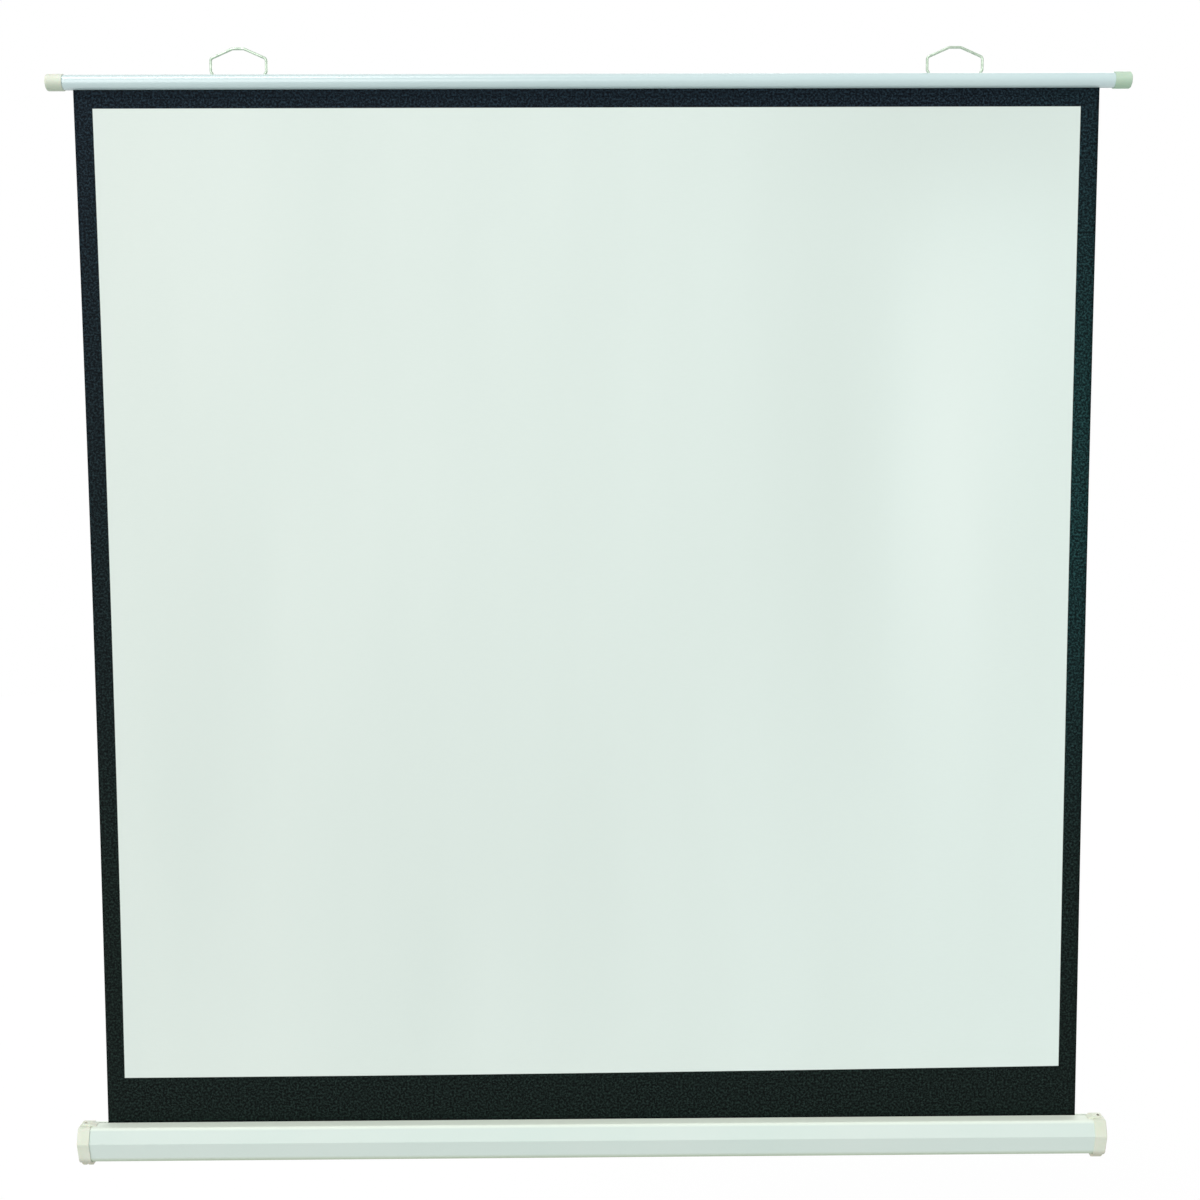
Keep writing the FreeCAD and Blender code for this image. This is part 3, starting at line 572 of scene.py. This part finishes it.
def makeBack(c):
    bench = Finish("screen_back", {"Specular IOR Level": c["gloss"]})
    across, down = bench.weave(c["thread"], c["threadStretch"])
    cloud = bench.grain(bench.cloth(), *c["cloud"]).past(*c["cloudEdge"])
    deepShare = cloud * c["cloudShare"] + across * c["threadShare"]
    bench.set("Base Color", bench.blend(deepShare, c["pale"], c["deep"]))
    bench.set("Roughness", across * c["threadRougher"] + c["roughness"])
    bench.bump(across + down, *c["bump"])
    return bench.material


def steps(start, end, count):
    return [start + (end - start) * i / count for i in range(count + 1)]


def measured(points, start, way):        # gives each point how far along the cut it lies
    line = [(*points[0], start)]
    for point in points[1:]:
        line.append((*point, line[-1][2] + way * math.dist(line[-1][:2], point)))
    return line


def hemSection(c, faceTop):        # from the flap behind, over the rod and down in front
    half, slit, gap = c["thickness"] / 2, c["slit"], c["loopGap"]
    loopRows, flapRows, stripRows = c["hemRows"]
    points = [(-half, slit)]
    for angle in steps(-0.5 * math.pi - gap, -2.5 * math.pi + gap, loopRows):
        points.append((math.cos(angle) * c["loop"], c["rod"] + math.sin(angle) * c["loop"]))
    flapTop = points[-1][1] - c["flapStart"]
    points += [(half, z) for z in steps(flapTop, slit - c["flap"], flapRows)]
    strip = [(-half, z, slit - z) for z in steps(slit, faceTop, stripRows)]
    return measured(points, 0.0, -1)[::-1] + strip[1:]


def turnSection(c, start):        # from the lead inwards
    axisY, axisZ = c["rollAxis"]
    points = []
    for t in steps(0, 1, c["turnGrid"][0]):
        angle = math.radians(c["rollAngle"]) - t * c["turns"] * math.tau
        radius = c["rollStart"] + (1 - t) * c["turns"] * c["thickness"]
        points.append((axisY + math.cos(angle) * radius, axisZ + math.sin(angle) * radius))
    return measured(points, start, 1)


def makeCloth(c):
    sides = [makeFront(c, frontFinish), makeBack(backFinish)]
    half, slit = c["thickness"] / 2, c["slit"]
    # the face hangs from the strip under the tube to the slot, closer rows near its ends
    faceTop, faceEnd = slit - c["strip"], c["slot"] - c["tuck"]
    rows, columns = c["faceGrid"]
    eased = [0.5 - 0.5 * math.cos(math.pi * t) for t in steps(0, 1, rows)]
    heights = [faceTop + (faceEnd - faceTop) * share for share in eased]
    face = sewCloth("screen_face", c, [(-half, z, slit - z) for z in heights], columns, sides)
    faceLength = faceTop - faceEnd
    hemLine = hemSection(c, faceTop)
    hem = sewCloth("screen_hem", c, hemLine, columns, sides)
    hemLength = hemLine[-1][2] - hemLine[0][2]
    # the lead goes straight back from the slot to the roll
    rows, columns = c["leadGrid"]
    leadY, leadZ = c["touch"][0] + half, c["touch"][1] + c["tuck"]
    leadLength = math.hypot(leadY, leadZ)
    leadLine = [(-half + leadY * t, faceEnd + leadZ * t, slit - faceEnd + leadLength * t)
                for t in steps(0, 1, rows)]
    lead = sewCloth("screen_lead", c, leadLine, columns, sides)
    turnLine = turnSection(c, leadLine[-1][2])
    turns = sewCloth("roll_turns", c, turnLine, c["turnGrid"][1], sides)
    turnLength = turnLine[-1][2] - turnLine[0][2]
    for piece in (face, hem):
        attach(piece, "top_bar")
    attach(lead, "case")
    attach(turns, "roller")
    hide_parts("screen_fabric")
    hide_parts("fabric_wraps")
    keep = (faceLength - c["travel"]) / faceLength
    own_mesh(face)
    print("cloth hung, hem", round(hemLength, 4), "m, turns", round(turnLength, 4), "m")


makeCloth(clothSetup)

studioSetup = {
    "floorHeight": -2.6,
    "floorRadius": 12.0,
    "floorSides": 96,
    "floorSeen": (0.95, 0.95, 0.95, 1.0),        # its colour to the camera and in reflections
    "floorTone": (0.68, 0.70, 0.70, 1.0),        # its colour as it lights the object
    "floorRoughness": 0.9,
    "floorGlow": 1.03,
    "floorGlowShare": 0.86,        # the rest is lit paint, which keeps the object's shadow
    "sky": (1.0, 1.0, 1.0, 1.0),
    "skyLight": 0.47,        # as it lights the object
    # strength, where the light comes from and its softness in degrees
    "suns": {
        "key": (1.12, (-0.45, -0.57, 1.1), 30.0),
        "front": (1.21, (-0.42, -0.9, 0.1), 50.0),
        "rear": (0.95, (0.45, 0.95, 0.22), 50.0),
    },
}


def addSky(c):        # strength 1 where it is seen, less where it lights the object
    world = bpy.data.worlds.new("studio")
    world.use_nodes = True
    world.node_tree.nodes.clear()
    bpy.context.scene.world = world
    bench = Bench(world.node_tree)
    strength = bench.seen() * (1 - c["skyLight"]) + c["skyLight"]
    glow = bench.add("ShaderNodeBackground", {}, {"Color": c["sky"], "Strength": strength})
    bench.add("ShaderNodeOutputWorld", {}, {"Surface": Signal(bench, glow.outputs[0])})


def addSuns(c):
    for name, (strength, source, softness) in c["suns"].items():
        light = bpy.data.lights.new(name, "SUN")
        light.energy = strength
        light.angle = math.radians(softness)
        sun = bpy.data.objects.new(name, light)
        sun.rotation_euler = Vector(source).to_track_quat("Z", "Y").to_euler()
        bpy.context.scene.collection.objects.link(sun)


def addFloor(c):
    bpy.ops.mesh.primitive_circle_add(vertices=c["floorSides"], radius=c["floorRadius"],
                                      fill_type="NGON", location=(0, 0, c["floorHeight"]))
    floor = bpy.context.active_object
    floor.name = "floor"
    bench = Finish("floor_white", {"Roughness": c["floorRoughness"], "Specular IOR Level": 0.0})
    seen = bench.seen()
    bench.set("Base Color", bench.blend(seen, c["floorTone"], c["floorSeen"]))
    glow = bench.add("ShaderNodeEmission", {}, {"Strength": c["floorGlow"]})
    mixed = bench.add("ShaderNodeMixShader", {}, {
        0: seen * c["floorGlowShare"],
        1: Signal(bench, bench.shader.outputs[0]),
        2: Signal(bench, glow.outputs[0]),
    })
    out = bench.tree.nodes["Material Output"]
    bench.join(Signal(bench, mixed.outputs[0]), out.inputs["Surface"])
    floor.data.materials.append(bench.material)


addSky(studioSetup)
addSuns(studioSetup)
addFloor(studioSetup)
bpy.context.scene.view_settings.view_transform = "Standard"
print("studio lit")
